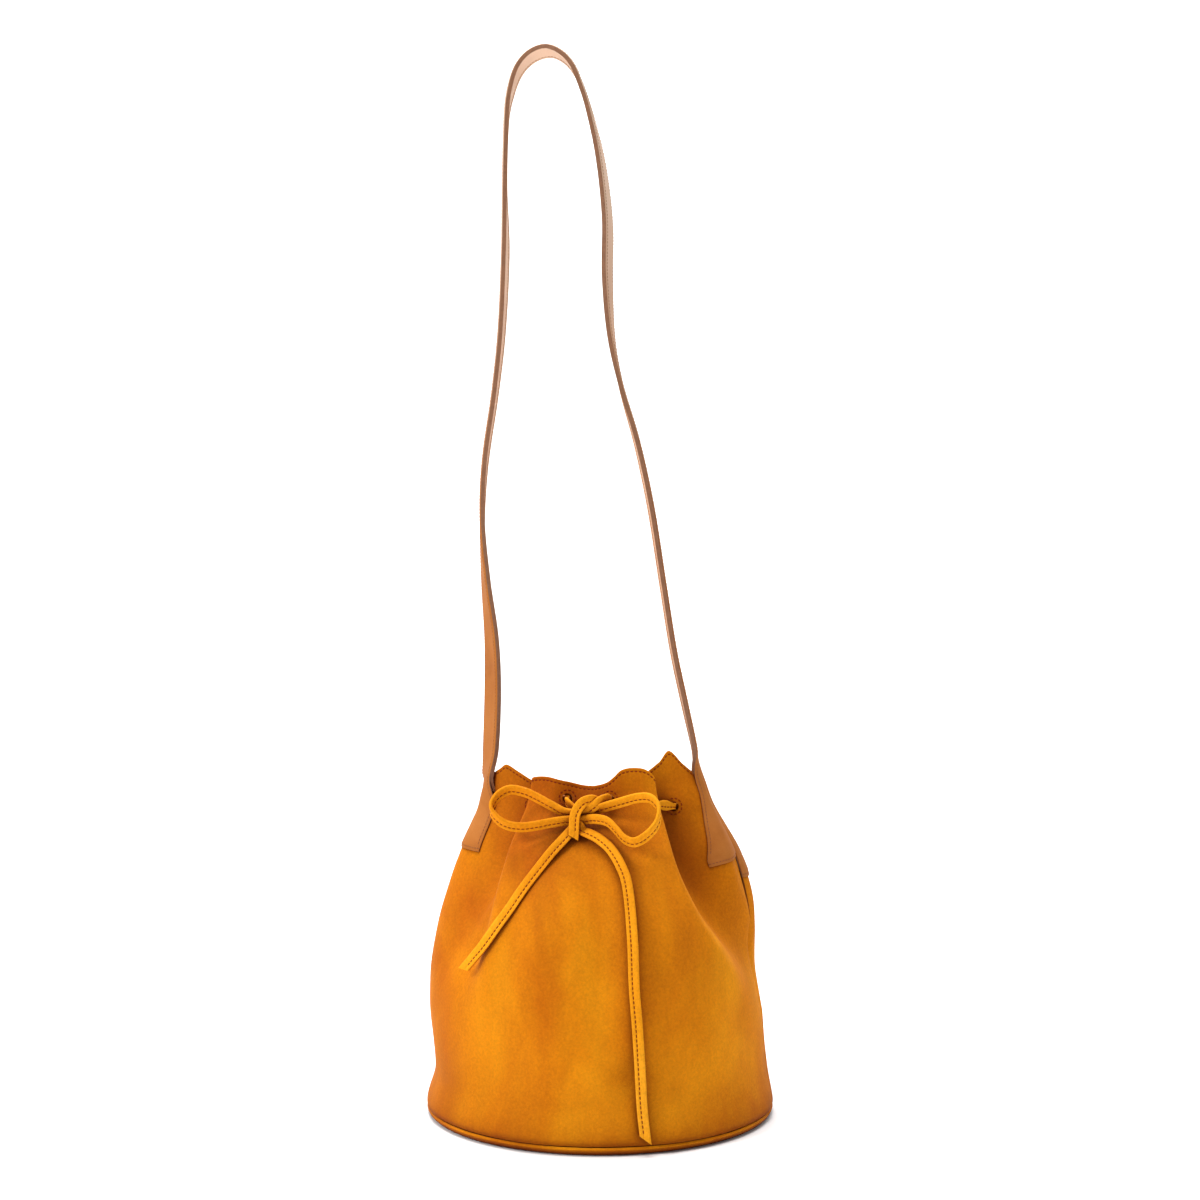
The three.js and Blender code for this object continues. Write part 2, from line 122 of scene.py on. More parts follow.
# Soft dents that the leather has settled into: angle, height, reach in degrees and in
# millimetres, depth.
DENTS = [
    (5, 180, 9, 30, 2.4),
    (12, 135, 9, 52, 7.5),
    (20, 54, 6, 18, 4.2),
    (-15, 140, 9, 50, -4.0),
    (-58, 168, 9, 50, 6.5),
    (-43, 158, 6, 42, 6.0),
    (-30, 40, 10, 22, 2.0),
    (30, 122, 6, 42, 2.0),
    (-46, 132, 8, 22, 4.0),
    (-20, 62, 10, 24, 1.6),
    (48, 70, 12, 40, -1.5),
    (-75, 34, 14, 14, 1.2),
    (150, 120, 12, 40, 2.2),
    (-160, 80, 10, 32, 2.0),
    (-130, 130, 8, 34, 2.0),
    (110, 60, 12, 30, 1.5),
    (95.5, 178, 5.5, 34, -4.5),
    (86, 176, 5, 30, 1.6),
]

# Centre line of the strap in the X-Z plane and its turn in degrees, as in the CAD model.
STRAP_PATH = [
    (-89, 284, 33), (-87.5, 330, 34), (-88.5, 370, 30), (-93, 415, 21), (-95.8, 465, 13),
    (-93.5, 510, 10), (-85.5, 565, 9), (-80, 615, 7.5), (-77, 680, 6.5), (-77.5, 735, 12),
    (-76, 785, 12), (-73, 804, 9), (-66.5, 822, 6), (-56, 833, 3), (-42, 837, 0),
    (-29.5, 831.5, -2), (-20.5, 821, -4), (-14.5, 807, -4), (-8, 787, -4),
    (1, 748, -1), (6.5, 700, 1), (6.5, 655, 1), (9.5, 608, -4), (17.5, 568, -8), (30, 524, -11),
    (41, 473, -12), (50.5, 413, -12), (59, 360, -12), (68, 318, -12), (75.5, 284, -10),
]

# Centre lines of the bow's loops and tails, from the knot outwards.
LOOP_ACROSS = (0, -0.42, 0.9)
LEFT_LOOP = [
    (-13, -70, 234), (-23, -73, 232.8), (-34, -76, 230.7), (-46, -79, 229.3), (-57, -81, 231),
    (-65, -81, 236), (-69.5, -79, 243), (-66, -74, 251.5), (-57, -71, 256.5), (-45, -69.5, 254.5),
    (-35, -69, 250), (-24.5, -68.5, 244.5), (-14, -68, 239.5),
]
RIGHT_LOOP = [
    (1, -70, 235), (10, -73, 236), (19, -76, 234.5), (26, -79, 229), (33, -82, 222.5),
    (41, -84, 220.5), (50, -83, 225.5), (57, -79, 234.5), (57.5, -75, 245.5), (51, -72, 252),
    (41, -70.5, 252), (28, -69.5, 248.3), (14, -68.5, 244), (3, -67.5, 240.5),
]
LEFT_TAIL = [
    (-9, -72, 227), (-15, -77, 220), (-22, -82, 212), (-31, -88, 200), (-41, -95, 186),
    (-50, -100, 172), (-60, -102.5, 158), (-70, -102, 144), (-80, -98.5, 132), (-87, -95, 124),
]
RIGHT_TAIL = [
    (-1, -72, 227), (5, -74.5, 225), (12, -77, 222), (20, -81, 217), (26, -85, 211),
    (31, -89, 204), (36, -93.5, 194), (40, -101, 177), (44, -112, 149), (46, -118, 120),
    (49, -122, 91), (51, -123, 62), (53, -125, 33), (56, -128.5, 12),
]


# ---------------------------------------------------------------- the body's outer surface
def smooth(xs, ys, x):
    """Cubic through (xs, ys), with slopes from the neighbours."""
    xs = np.asarray(xs, float)
    ys = np.asarray(ys, float)
    x = np.clip(x, xs[0], xs[-1])
    i = np.clip(np.searchsorted(xs, x, side="left") - 1, 0, len(xs) - 2)
    order = np.arange(len(xs))
    low = np.maximum(order - 1, 0)
    high = np.minimum(order + 1, len(xs) - 1)
    slope = (ys[high] - ys[low]) / (xs[high] - xs[low])
    span = xs[i + 1] - xs[i]
    t = (x - xs[i]) / span
    t2 = t * t
    t3 = t2 * t
    return (
        (2 * t3 - 3 * t2 + 1) * ys[i]
        + (t3 - 2 * t2 + t) * span * slope[i]
        + (3 * t2 - 2 * t3) * ys[i + 1]
        + (t3 - t2) * span * slope[i + 1]
    )


def wrap(degrees):
    return (np.asarray(degrees, float) + 180) % 360 - 180


def fold_depth(angle, height):
    total = 0
    for fold_angle, depth, low, high in FOLDS:
        offset = wrap(angle - smooth(FOLD_HEIGHTS, fold_angle, height))
        t = np.clip(offset / np.where(offset < 0, low, high), -1, 1)
        total = total + smooth(FOLD_HEIGHTS, depth, height) * (1 - t * t) ** 2
    return total


def base_radius(angle, height):
    across = np.sin(np.radians(angle))
    along = np.cos(np.radians(angle))
    side = np.where(across < 0, smooth(HEIGHTS, LEFT, height), smooth(HEIGHTS, RIGHT, height))
    front = smooth(HEIGHTS, FRONT, height)
    return 1 / np.hypot(across / side, along / front) - fold_depth(angle, height)


def settled(angle, height):
    """How far the leather sinks in from the plain surface, in millimetres."""
    sink = 0
    for dent_angle, dent_height, reach, rise, depth in DENTS:
        a = wrap(angle - dent_angle) / reach
        h = (height - dent_height) / rise
        sink = sink + depth * np.exp(-a * a - h * h)
    turn = np.radians(angle)
    sink = sink + 0.45 * np.sin(7 * turn + 0.035 * height) * np.sin(0.045 * height + 1.3)
    sink = sink + 0.25 * np.sin(15 * turn - 0.06 * height + 2) * np.sin(0.08 * height)
    seam = np.abs(np.abs(wrap(angle)) - 90) * np.radians(1) * 110
    sink = sink + 1.1 * np.exp(-((seam / 2.4) ** 2))
    base = (height - BASE_CORNER) / 2.4
    return sink + 0.7 * np.exp(-base * base)


def radius_at(angle, height):
    return base_radius(angle, height) - settled(angle, height)


def surface(angle, height):
    angle, height = np.broadcast_arrays(np.asarray(angle, float), np.asarray(height, float))
    radius = radius_at(angle, height)
    turn = np.radians(angle)
    return np.stack([radius * np.sin(turn), -radius * np.cos(turn), height], -1)


def unit(vectors):
    return vectors / np.maximum(np.linalg.norm(vectors, axis=-1, keepdims=True), 1e-9)


def outward(angle, height):
    across = surface(angle + 0.3, height) - surface(angle - 0.3, height)
    up = surface(angle, height + 0.4) - surface(angle, height - 0.4)
    return unit(np.cross(across, up))


def offset_point(angle, height, offset):
    offset = np.asarray(offset, float)[..., None]
    return surface(angle, height) + outward(angle, height) * offset


def rim_height(angle):
    return smooth([p[0] for p in RIM], [p[1] for p in RIM], wrap(angle))


def angle_after(start, height, distance):
    """Angle reached by walking a distance along the section at one height."""
    steps = np.linspace(0, 75, 301) * np.sign(distance or 1)
    points = surface(start + steps, height)
    walked = np.concatenate([[0], np.cumsum(np.linalg.norm(np.diff(points, axis=0), axis=1))])
    return start + np.interp(abs(distance), walked, steps)


def columns_between(start, end, count):
    """Angles evenly spaced along the neck's section."""
    angles = np.linspace(start, end, 1441)
    points = surface(angles, 228)
    lengths = np.concatenate([[0], np.cumsum(np.linalg.norm(np.diff(points, axis=0), axis=1))])
    return np.interp(np.linspace(0, lengths[-1], count + 1), lengths, angles)


# ---------------------------------------------------------------- mesh helpers
def new_object(name, vertices, faces, materials, indices=None):
    mesh = bpy.data.meshes.new(name)
    mesh.from_pydata((np.asarray(vertices) * MM).tolist(), [], faces)
    for material in materials:
        mesh.materials.append(material)
    if indices is not None:
        mesh.polygons.foreach_set("material_index", np.asarray(indices, dtype=np.int32))
    mesh.shade_smooth()
    mesh.set_sharp_from_angle(angle=SHARP)
    mesh.update()
    piece = bpy.data.objects.new(name, mesh)
    bpy.context.collection.objects.link(piece)
    return piece


def face_out(piece):
    """Turns all faces of a closed mesh outwards."""
    mesh = bmesh.new()
    mesh.from_mesh(piece.data)
    bmesh.ops.recalc_face_normals(mesh, faces=mesh.faces)
    mesh.to_mesh(piece.data)
    mesh.free()


def grid_shell(name, outer, inner, materials):
    """Closed shell between two equal grids of points. Its cut edges take material 1."""
    across, up = outer.shape[0] - 1, outer.shape[1] - 1
    grid = np.arange(outer.shape[0] * outer.shape[1]).reshape(outer.shape[:2])
    out, inn = grid, grid + grid.size
    quads = [
        np.stack([out[:-1, :-1], out[1:, :-1], out[1:, 1:], out[:-1, 1:]], -1).reshape(-1, 4),
        np.stack([inn[:-1, :-1], inn[:-1, 1:], inn[1:, 1:], inn[1:, :-1]], -1).reshape(-1, 4),
        np.stack([out[:-1, 0], inn[:-1, 0], inn[1:, 0], out[1:, 0]], -1),
        np.stack([out[:-1, up], out[1:, up], inn[1:, up], inn[:-1, up]], -1),
        np.stack([out[0, :-1], out[0, 1:], inn[0, 1:], inn[0, :-1]], -1),
        np.stack([out[across, :-1], inn[across, :-1], inn[across, 1:], out[across, 1:]], -1),
    ]
    face_count = len(quads[0]) + len(quads[1])
    faces = np.concatenate(quads)
    indices = np.zeros(len(faces), int)
    indices[face_count:] = 1
    vertices = np.concatenate([outer.reshape(-1, 3), inner.reshape(-1, 3)])
    return new_object(name, vertices, faces.tolist(), materials, indices)


def swept(rings):
    """Vertices and faces of a tube through equal rings of points."""
    count, sides = rings.shape[:2]
    grid = np.arange(count * sides).reshape(count, sides)
    turned = np.roll(grid, -1, axis=1)
    faces = np.stack([grid[:-1], turned[:-1], turned[1:], grid[1:]], -1).reshape(-1, 4).tolist()
    faces.append(grid[0][::-1].tolist())
    faces.append(grid[-1].tolist())
    return rings.reshape(-1, 3), faces


def resample(points, spacing):
    """Even stations along a smooth curve through the points, with their tangents."""
    points = np.asarray(points, float)
    knots = np.concatenate([[0], np.cumsum(np.linalg.norm(np.diff(points, axis=0), axis=1) ** 0.75)])
    fine = np.linspace(0, knots[-1], 40 * len(points))
    curve = np.stack([smooth(knots, points[:, k], fine) for k in range(points.shape[1])], -1)
    step = np.linalg.norm(np.diff(curve[:, :3], axis=0), axis=1)
    length = np.concatenate([[0], np.cumsum(step)])
    count = max(int(round(length[-1] / spacing)), 2)
    wanted = np.linspace(0, length[-1], count + 1)
    line = np.stack([np.interp(wanted, length, curve[:, k]) for k in range(points.shape[1])], -1)
    tangents = unit(np.gradient(line[:, :3], axis=0))
    return line, tangents, wanted


def squared(across, tangents):
    """Across directions made square to the tangents, and the normals that go with them."""
    across = across - tangents * np.sum(across * tangents, -1, keepdims=True)
    across = unit(across)
    return across, unit(np.cross(tangents, across))


def stitches(name, runs, material, length=2.2, radius=0.44, pitch=3.4, sides=5):
    """Raised thread dashes along runs of (points, normals)."""
    vertices = []
    faces = []
    shares = [(-0.5, 0.35), (-0.32, 1), (0.32, 1), (0.5, 0.35)]
    around = np.arange(sides) * 2 * math.pi / sides
    for points, normals in runs:
        points = np.asarray(points, float)
        step = np.linalg.norm(np.diff(points, axis=0), axis=1)
        walked = np.concatenate([[0], np.cumsum(step)])
        places = np.arange(pitch / 2, walked[-1] - length / 2, pitch)
        here = np.stack([np.interp(places, walked, points[:, k]) for k in range(3)], -1)
        ahead = np.stack([np.interp(places + 0.3, walked, points[:, k]) for k in range(3)], -1)
        behind = np.stack([np.interp(places - 0.3, walked, points[:, k]) for k in range(3)], -1)
        up = unit(np.stack([np.interp(places, walked, normals[:, k]) for k in range(3)], -1))
        along = unit(ahead - behind)
        side = unit(np.cross(up, along))
        for p, t, s, n in zip(here, along, side, up):
            first = len(vertices)
            for share, size in shares:
                for a in around:
                    reach = s * math.cos(a) * radius * size + n * math.sin(a) * radius * size * 0.8
                    vertices.append(p + t * share * length + reach)
            for k in range(len(shares) - 1):
                for j in range(sides):
                    a = first + k * sides + j
                    b = first + k * sides + (j + 1) % sides
                    faces.append((a, b, b + sides, a + sides))
            faces.append(tuple(first + j for j in reversed(range(sides))))
            last = first + (len(shares) - 1) * sides
            faces.append(tuple(last + j for j in range(sides)))
    return new_object(name, np.array(vertices), faces, [material])


def cut_holes(piece, eyelets, radius):
    """Cuts round holes through a shell with exact booleans. Hole walls take material 1."""
    sides = 40
    around = np.arange(sides) * 2 * math.pi / sides
    vertices = []
    faces = []
    for angle, height in eyelets:
        centre = surface(angle, height)
        normal = outward(angle, height)
        first = unit(np.cross(normal, [0, 0, 1.0]))
        second = np.cross(normal, first)
        ring = [first * math.cos(a) * radius + second * math.sin(a) * radius for a in around]
        rings = np.stack([[centre + normal * d + r for r in ring] for d in (-9, 4)])
        points, quads = swept(rings[:, ::-1])
        faces += [tuple(len(vertices) + k for k in quad) for quad in quads]
        vertices += points.tolist()
    cutter = new_object("cutter", np.array(vertices), faces, list(piece.data.materials), [1] * len(faces))
    face_out(cutter)
    boolean = piece.modifiers.new("holes", "BOOLEAN")
    boolean.operation = "DIFFERENCE"
    boolean.solver = "EXACT"
    boolean.object = cutter
    bpy.context.view_layer.update()
    graph = bpy.context.evaluated_depsgraph_get()
    mesh = bpy.data.meshes.new_from_object(piece.evaluated_get(graph))
    piece.modifiers.clear()
    piece.data = mesh
    bpy.data.objects.remove(cutter)


# ---------------------------------------------------------------- materials
def linear(r, g, b):
    """Linear colour from 0-255 display values."""
    def channel(v):
        v /= 255
        return v / 12.92 if v <= 0.04045 else ((v + 0.055) / 1.055) ** 2.4
    return (channel(r), channel(g), channel(b), 1)


class Nodes:
    """Short names for building one material."""

    def __init__(self, name, roughness):
        self.material = bpy.data.materials.new(name)
        self.material.use_nodes = True
        self.tree = self.material.node_tree
        self.shader = self.tree.nodes["Principled BSDF"]
        self.shader.inputs["Roughness"].default_value = roughness
        self.place = self.tree.nodes.new("ShaderNodeTexCoord").outputs["Object"]

    def link(self, source, target):
        self.tree.links.new(source, target)

    def noise(self, scale, detail=4, roughness=0.5, distortion=0, stretch=None):
        node = self.tree.nodes.new("ShaderNodeTexNoise")
        node.inputs["Scale"].default_value = scale
        node.inputs["Detail"].default_value = detail
        node.inputs["Roughness"].default_value = roughness
        node.inputs["Distortion"].default_value = distortion
        source = self.place
        if stretch:
            mapping = self.tree.nodes.new("ShaderNodeMapping")
            mapping.inputs["Scale"].default_value = stretch
            self.link(self.place, mapping.inputs["Vector"])
            source = mapping.outputs["Vector"]
        self.link(source, node.inputs["Vector"])
        return node.outputs["Fac"]

    def stored(self, name):
        """A value that is kept on the mesh's points."""
        node = self.tree.nodes.new("ShaderNodeAttribute")
        node.attribute_name = name
        return node.outputs["Fac"]

    def cells(self, scale):
        node = self.tree.nodes.new("ShaderNodeTexVoronoi")
        node.feature = "DISTANCE_TO_EDGE"
        node.inputs["Scale"].default_value = scale
        self.link(self.place, node.inputs["Vector"])
        return node.outputs["Distance"]

    def ramp(self, source, stops):
        node = self.tree.nodes.new("ShaderNodeValToRGB")
        ramp = node.color_ramp
        while len(ramp.elements) < len(stops):
            ramp.elements.new(0.5)
        for element, (place, colour) in zip(ramp.elements, stops):
            element.position = place
            element.color = colour
        self.link(source, node.inputs["Fac"])
        return node.outputs["Color"]

    def mix(self, factor, a, b, mode="MIX"):
        node = self.tree.nodes.new("ShaderNodeMix")
        node.data_type = "RGBA"
        node.blend_type = mode
        for value, socket in ((factor, node.inputs[0]), (a, node.inputs[6]), (b, node.inputs[7])):
            if isinstance(value, (float, tuple)):
                socket.default_value = value
            else:
                self.link(value, socket)
        return node.outputs[2]

    def shade_in_folds(self, reach):
        """How open the surface is around a point, from 0 in a tight fold to 1, used to paint shade into folds
        and creases.
        """
        node = self.tree.nodes.new("ShaderNodeAmbientOcclusion")
        node.samples = 6
        node.inputs["Distance"].default_value = reach
        return node.outputs["AO"]

    def bump(self, layers):
        """Bump from (height output, distance in metres, strength) layers."""
        normal = None
        for source, distance, strength in layers:
            node = self.tree.nodes.new("ShaderNodeBump")
            node.inputs["Distance"].default_value = distance
            node.inputs["Strength"].default_value = strength
            self.link(source, node.inputs["Height"])
            if normal is not None:
                self.link(normal, node.inputs["Normal"])
            normal = node.outputs["Normal"]
        self.link(normal, self.shader.inputs["Normal"])


def grey(value):
    return (value, value, value, 1)


def nubuck_material(name, base, dark, light, reach):
    """Napped leather: cloudy tone, fine nap, faint brushed streaks, painted shade in its folds and a soft
    sheen.
    """
    m = Nodes(name, 0.82)
    clouds = m.noise(7, 5, 0.55, 0.6, (1.0, 1.0, 0.6))
    brushed = m.noise(34, 6, 0.62, 0.4, (1.0, 1.0, 0.35))
    nap = m.noise(520, 4, 0.65)
    tone = m.ramp(clouds, [(0.34, dark), (0.52, base), (0.68, light)])
    streaks = m.ramp(brushed, [(0.32, grey(0.84)), (0.55, grey(1.0)), (0.75, grey(1.06))])
    tone = m.mix(0.65, tone, streaks, "MULTIPLY")
    speckle = m.ramp(nap, [(0.32, grey(0.76)), (0.68, grey(1.1))])
    tone = m.mix(0.7, tone, speckle, "MULTIPLY")
    # Painted shade: folds and creases are darkened to a deeper, browner tone where the surface is closed in
    # around them.
    darkest_painted_shade = (0.2, 0.09, 0.03, 1)
    mid_painted_shade = (0.62, 0.5, 0.32, 1)
    painted_fold_shade = m.ramp(m.shade_in_folds(reach), [(0.25, darkest_painted_shade), (0.6, mid_painted_shade), (0.9, grey(1.0))])
    tone = m.mix(1.0, tone, painted_fold_shade, "MULTIPLY")
    m.link(tone, m.shader.inputs["Base Color"])
    rough = m.ramp(clouds, [(0.3, grey(0.74)), (0.7, grey(0.9))])
    m.link(rough, m.shader.inputs["Roughness"])
    m.shader.inputs["Specular IOR Level"].default_value = 0.08
    m.shader.inputs["Sheen Weight"].default_value = 0.03
    m.shader.inputs["Sheen Roughness"].default_value = 0.45
    m.shader.inputs["Sheen Tint"].default_value = linear(255, 190, 90)
    m.bump([(nap, 0.00012, 0.6), (brushed, 0.0007, 0.35)])
    return m.material


def tan_material(name, base, dark, light):
    """Smooth tanned leather: fine grain cells, soft tone changes, a satin finish and painted light towards the
    top.
    """
    m = Nodes(name, 0.5)
    clouds = m.noise(22, 5, 0.6, 0.3)
    grain = m.cells(900)
    pores = m.noise(1500, 2, 0.5)
    tone = m.ramp(clouds, [(0.3, dark), (0.5, base), (0.75, light)])
    creases = m.ramp(grain, [(0.0, grey(0.86)), (0.12, grey(1.0))])
    tone = m.mix(0.5, tone, creases, "MULTIPLY")
    # Painted light: the strap is painted paler towards its top, as if lit from above.
    tone = m.mix(m.stored("painted_top_light"), tone, linear(214, 184, 160))
    m.link(tone, m.shader.inputs["Base Color"])
    rough = m.ramp(pores, [(0.3, grey(0.56)), (0.7, grey(0.7))])
    m.link(rough, m.shader.inputs["Roughness"])
    m.shader.inputs["Specular IOR Level"].default_value = 0.07
    m.bump([(grain, 0.00015, 0.35), (pores, 0.00008, 0.3)])
    return m.material


def plain_material(name, colour, roughness, scale, depth):
    """Small parts: one tone with a fine noise in colour and bump."""
    m = Nodes(name, roughness)
    fine = m.noise(scale, 4, 0.6)
    tone = m.ramp(fine, [(0.3, tuple(0.75 * c for c in colour[:3]) + (1,)), (0.7, colour)])
    m.link(tone, m.shader.inputs["Base Color"])
    m.bump([(fine, depth, 0.5)])
    return m.material


def thread_material(name, colour):
    """Twisted thread: fine slanting bands."""
    m = Nodes(name, 0.8)
    m.shader.inputs["Specular IOR Level"].default_value = 0.15
    twist = m.noise(2600, 2, 0.5, 0, (1.0, 1.0, 0.3))
    tone = m.ramp(twist, [(0.35, tuple(0.55 * c for c in colour[:3]) + (1,)), (0.65, colour)])
    m.link(tone, m.shader.inputs["Base Color"])
    m.bump([(twist, 0.0001, 0.6)])
    return m.material


NUBUCK_TONES = (linear(207, 121, 6), linear(180, 90, 2), linear(229, 147, 16))
# The last argument is how far the painted fold shade reaches, in metres.
NUBUCK = nubuck_material("nubuck", *NUBUCK_TONES, 0.08)
NUBUCK_BASE = nubuck_material("nubuck_base", *NUBUCK_TONES, 0.012)
STRING_TONES = (linear(238, 154, 22), linear(224, 134, 10), linear(245, 166, 38))
NUBUCK_STRING = nubuck_material("nubuck_string", *STRING_TONES, 0.012)
NUBUCK_EDGE = plain_material("nubuck_edge", linear(170, 92, 22), 0.85, 700, 0.0002)
STRAP_TAN = tan_material("strap_tan", linear(170, 102, 44), linear(157, 91, 37), linear(180, 113, 54))
LINING_TAN = tan_material("lining_tan", linear(200, 150, 116), linear(188, 136, 102), linear(210, 164, 132))
EDGE_PAINT = plain_material("edge_paint", linear(140, 94, 64), 0.5, 400, 0.0001)
RUST_THREAD = thread_material("rust_thread", linear(132, 40, 0))
TAN_THREAD = thread_material("tan_thread", linear(150, 92, 54))
BOARD = plain_material("board", linear(96, 74, 52), 0.8, 500, 0.0003)


def dress(piece, body, slot, *nodes):
    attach(piece, body)
    if nodes:
        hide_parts(*nodes)


# ---------------------------------------------------------------- drawstring
def strip_section(half, thick):
    """Folded strip, seen end on: a raw edge at -half, a rolled edge at +half."""
    top = [
        (-1.0, 0.30), (-0.97, 0.42), (-0.9, 0.46), (-0.45, 0.44), (-0.36, 0.36), (-0.30, 0.34),
        (-0.24, 0.36), (-0.14, 0.46), (0.25, 0.5), (0.6, 0.52), (0.82, 0.47), (0.95, 0.3), (1.0, 0.0),
    ]
    bottom = [(u, -v) for u, v in reversed(top[:-1])]
    return np.array([(u * half, v * thick) for u, v in top + bottom])


SECTION = strip_section(STRIP_HALF, STRIP)
STATION = 1.6  # spacing of the stations along a strip
STITCH_PLACE = -0.30 * STRIP_HALF
STITCH_DEPTH = 0.37 * STRIP


def strip_mesh(points, hints, tip, taper=None):
    """Flat folded strip along points, its width along the hints, with one slanted tip.

    tip is how far the rolled edge is cut back from the raw edge at the far end."""
    rows = np.concatenate([np.asarray(points, float), np.asarray(hints, float)], 1)
    line, tangents, walked = resample(rows, STATION)
    across, normals = squared(line[:, 3:], tangents)
    places = line[:, :3]
    u = SECTION[:, 0][None, :, None]
    v = SECTION[:, 1][None, :, None]
    width = np.ones(len(places)) if taper is None else taper(walked)
    thick = 1 / np.sqrt(width)
    rings = (
        places[:, None]
        + across[:, None] * u * width[:, None, None]
        + normals[:, None] * v * thick[:, None, None]
    )
    near_end = np.clip(1 - (walked[-1] - walked) / 10, 0, 1)[:, None]
    back = tip * SECTION[:, 0][None] / STRIP_HALF / 2 * near_end
    rings = rings - tangents[:, None] * back[..., None]
    vertices, faces = swept(rings)
    runs = []
    inset = slice(2, -3)
    for side in (1, -1):
        lifted = places + across * STITCH_PLACE * width[:, None]
        lifted = lifted + normals * side * STITCH_DEPTH * thick[:, None]
        runs.append((lifted[inset], normals[inset] * side))
    return vertices, faces, runs, places, walked[-1]


def on_body(points, sign, lean=0.0):
    """Across directions for a strip that lies on the body, leaning towards the front."""
    points = np.asarray(points, float)
    tangents = unit(np.gradient(points, axis=0))
    angles = np.degrees(np.arctan2(points[:, 0], -points[:, 1]))
    facing = unit(outward(angles, points[:, 2]) + lean * np.array([0.1, -1, 0]))
    return sign * unit(np.cross(facing, tangents))


def join_stitched(name, vertices, faces, runs, materials):
    """One piece from a strip and its stitching."""
    strip = new_object(name, vertices, faces, materials)
    thread = stitches(name + "_thread", runs, materials[1])
    count = len(strip.data.polygons)
    with bpy.context.temp_override(
        active_object=strip, object=strip, selected_objects=[strip, thread],
        selected_editable_objects=[strip, thread],
    ):
        bpy.ops.object.join()
    indices = np.zeros(len(strip.data.polygons), dtype=np.int32)
    indices[count:] = 1
    strip.data.polygons.foreach_set("material_index", indices)
    strip.data.update()
    return strip


def squeezed_start(walked):
    """Width along a strip that starts pinched in its eyelet."""
    return np.interp(walked, [0, 5, 12], [0.52, 0.6, 1])


def make_bow():
    loop = np.array(LOOP_ACROSS, float)
    left_eye = offset_point(*LEFT_EYELETS[0], -3.0)
    right_eye = offset_point(*RIGHT_EYELETS[0], -3.0)
    lead = np.array([0, -0.35, 0.93])
    cords = []
    # The left half leaves its eyelet, makes the right loop and ends in the left tail.
    points = [left_eye, (-14.5, -60, 246.5), (-9, -63, 242), (-3, -65, 238)]
    hints = [lead, lead, loop, loop]
    points += RIGHT_LOOP[::-1] + [(-3, -70, 233.5), (-6, -71.5, 230)]
    tail_hints = on_body(LEFT_TAIL, -1, 1.2)
    hints += [loop] * (len(RIGHT_LOOP) + 1) + [unit(loop + tail_hints[0])]
    points += LEFT_TAIL
    hints += list(tail_hints)
    nodes = ("bow_loop_right", "drawstring_tail_left")
    cords.append(("drawstring_left", points, hints, -6.5, left_eye, nodes))
    # The right half leaves its eyelet, makes the left loop and ends in the right tail.
    points = [right_eye, (17, -62.5, 250.5), (12, -68.5, 248.5), (6, -70.5, 244), (0, -69.5, 240)]
    hints = [lead, lead, (-0.5, -0.2, 0.8), (-0.5, -0.2, 0.8), (-0.3, -0.4, 0.8)]
    points += LEFT_LOOP[::-1] + [(-7, -70, 234), (-3.5, -71.5, 230.5)]
    tail_hints = on_body(RIGHT_TAIL, 1)
    hints += [loop] * (len(LEFT_LOOP) + 1) + [unit(loop + tail_hints[0])]
    points += RIGHT_TAIL
    hints += list(tail_hints)
    nodes = ("bow_loop_left", "drawstring_tail_right")
    cords.append(("drawstring_right", points, hints, -7.0, right_eye, nodes))

    knot = make_knot()
    for name, points, hints, tip, exit_point, nodes in cords:
        vertices, faces, runs, places, length = strip_mesh(points, hints, tip, squeezed_start)
        piece = join_stitched(name, vertices, faces, runs, [NUBUCK_STRING, RUST_THREAD])
        dress(piece, "bag", "nubuck_string", *nodes)


def make_knot():
    """The turn that binds the bow: a core under a band that ends in a short cut tip."""
    rows, columns = 16, 24
    centre = np.array([-5.5, -67.0, 236.5])
    rings = []
    for i in range(1, rows):
        rise = math.pi * (i / rows - 0.5)
        a = np.arange(columns) * 2 * math.pi / columns
        pinch = 1 + 0.12 * np.cos(3 * a + 1)
        rings.append(np.stack([
            centre[0] + 5.6 * math.cos(rise) * np.cos(a) * pinch,
            centre[1] + 4.6 * math.cos(rise) * np.sin(a) * pinch,
            np.full(columns, centre[2] + 7.2 * math.sin(rise)),
        ], -1))
    core, core_faces = swept(np.stack(rings))
    band = [
        (9, -67, 248.5), (5.5, -70.5, 250), (0.5, -73, 248.5), (-3.5, -75, 244), (-5.8, -75.8, 238.5),
        (-6.4, -76, 232.5), (-6.6, -75.8, 227), (-7, -75.4, 222),
    ]
    hints = [(-0.5, -0.6, 0.6), (-0.5, -0.5, 0.7), (-0.75, -0.3, 0.5), (-0.9, -0.1, 0.3),
             (-0.97, 0, 0.15), (-1, 0, 0.05), (-1, 0, 0), (-1, 0, 0)]
    vertices, faces, runs, _, _ = strip_mesh(band, hints, 4.0)
    shift = len(vertices)
    vertices = np.concatenate([vertices, core])
    faces = faces + [tuple(shift + k for k in face) for face in core_faces]
    piece = join_stitched("bow_knot_band", vertices, faces, runs, [NUBUCK_STRING, RUST_THREAD])
    dress(piece, "bag", "nubuck_string", "bow_knot")
    return piece


make_bow()


